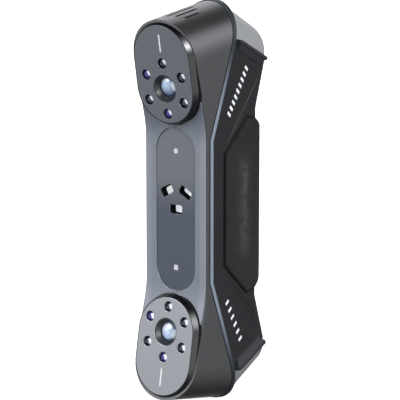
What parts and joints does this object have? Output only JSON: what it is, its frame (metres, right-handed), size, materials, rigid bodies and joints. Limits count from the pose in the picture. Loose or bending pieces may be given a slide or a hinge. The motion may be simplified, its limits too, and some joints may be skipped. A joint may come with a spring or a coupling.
{
  "type": "handheld 3d scanner",
  "caption": "Handheld 3-D scanner with two toed-in stereo camera heads ringed by lamps, a waist panel with laser windows, a knurled rubber grip, guard lips and rear buttons.",
  "frame": {"origin": "centre of the bounding box", "axes": "+Z along the body towards the vented head, -Y the way the cameras look, +X the scanner's right as seen from the front"},
  "size_m": [0.0486, 0.0724, 0.2212],
  "materials": {
    "graphite_shell": "satin dark graphite",
    "blue_grey_bezel": "satin blue-grey",
    "panel_gloss": "glossy dark grey",
    "window_glass": "frosted pane",
    "white_diffuser": "translucent white",
    "gloss_black_rim": "gloss black",
    "camera_plate_grey": "satin grey",
    "led_lens": "clear tinted lens",
    "circuit_board": "solder mask",
    "barrel_black": "matte black",
    "lens_glass": "coated glass",
    "module_black": "matte black",
    "cap_grey": "satin light grey",
    "seal_black": "matte black",
    "band_blue": "satin steel blue",
    "cover_black": "fine matte black",
    "grip_rubber": "knurled black rubber",
    "control_gloss": "gloss black",
    "button_grey": "satin grey",
    "chassis_aluminium": "machined",
    "screw_steel": "zinc",
    "insert_brass": "machined",
    "port_steel": "plain"
  },
  "bodies": {
    "housing": {"board_screws": "screw_steel", "bottom_camera_block": "module_black", "bottom_camera_plate": "camera_plate_grey", "bottom_camera_rim": "gloss_black_rim", "bottom_led_board": "circuit_board", "bottom_led_lenses": "led_lens", "bottom_lens_barrel": "barrel_black", "bottom_lens_glass": "lens_glass", "bottom_rear_cap": "cap_grey", "bottom_sensor_board": "circuit_board", "button_board": "circuit_board", "button_switches": "module_black", "camera_screws": "screw_steel", "case_screws": "screw_steel", "centre_panel": "panel_gloss", "chassis_screws": "screw_steel", "colour_camera_module": "module_black", "colour_camera_window": "window_glass", "control_panel": "control_gloss", "fan_frame": "module_black", "fan_screws": "screw_steel", "front_bezel": "blue_grey_bezel", "front_shell": "graphite_shell", "heatsink": "chassis_aluminium", "indicator_windows": "white_diffuser", "laser_bracket": "chassis_aluminium", "laser_modules": "module_black", "laser_windows": "window_glass", "main_board": "circuit_board", "optical_chassis": "chassis_aluminium", "port_board": "circuit_board", "rear_cover": "cover_black", "rear_grip": "grip_rubber", "seam_band": "band_blue", "seam_gasket": "seal_black", "status_light": "white_diffuser", "top_camera_block": "module_black", "top_camera_plate": "camera_plate_grey", "top_camera_rim": "gloss_black_rim", "top_led_board": "circuit_board", "top_led_lenses": "led_lens", "top_lens_barrel": "barrel_black", "top_lens_glass": "lens_glass", "top_rear_cap": "cap_grey", "top_sensor_board": "circuit_board", "tripod_insert": "insert_brass", "usb_port": "port_steel"},
    "scan_key": {"scan_button": "button_grey"},
    "plus_key": {"plus_button": "button_grey"},
    "minus_key": {"minus_button": "button_grey"},
    "fan_impeller": {"fan_rotor": "module_black"}
  },
  "joints": [
    {"name": "scan_press", "type": "slide", "parent": "housing", "child": "scan_key", "axis": [0, -1, 0], "range_m": [0, 0.0008], "stiffness_N_per_m": 60},
    {"name": "plus_press", "type": "slide", "parent": "housing", "child": "plus_key", "axis": [0, -1, 0], "range_m": [0, 0.0008], "stiffness_N_per_m": 60},
    {"name": "minus_press", "type": "slide", "parent": "housing", "child": "minus_key", "axis": [0, -1, 0], "range_m": [0, 0.0008], "stiffness_N_per_m": 60},
    {"name": "fan_spin", "type": "hinge", "parent": "housing", "child": "fan_impeller", "pos_m": [0, 0.00068, 0.07086], "axis": [0, -0.9854, -0.1702], "continuous": true}
  ]
}
